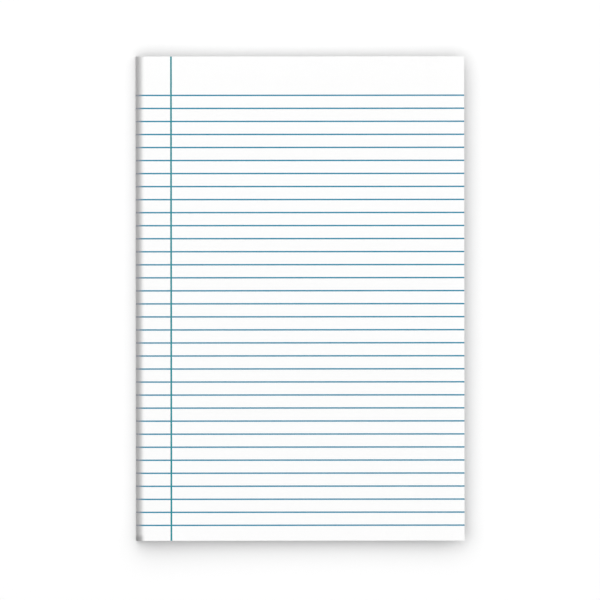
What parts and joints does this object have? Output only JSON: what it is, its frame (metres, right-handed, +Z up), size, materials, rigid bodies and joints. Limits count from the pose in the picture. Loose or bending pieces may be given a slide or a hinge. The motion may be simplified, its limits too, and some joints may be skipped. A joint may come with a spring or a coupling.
{
  "type": "lined paper",
  "caption": "Double sheet of ruled writing paper, folded once down its left side and lying closed, with feint rules across and a margin rule down the page.",
  "frame": {"origin": "on the table, under the middle of the closed sheet", "axes": "+X from the fold to the fore edge, +Y towards the head of the page, +Z up out of the front page"},
  "size_m": [0.2104, 0.31, 0.0107],
  "materials": {
    "white_paper": "matte",
    "feint_ink": "matte",
    "margin_ink": "matte"
  },
  "bodies": {
    "root": {"folded_sheet": "white_paper", "feint_rules": "feint_ink", "margin_rule": "margin_ink"}
  },
  "joints": []
}
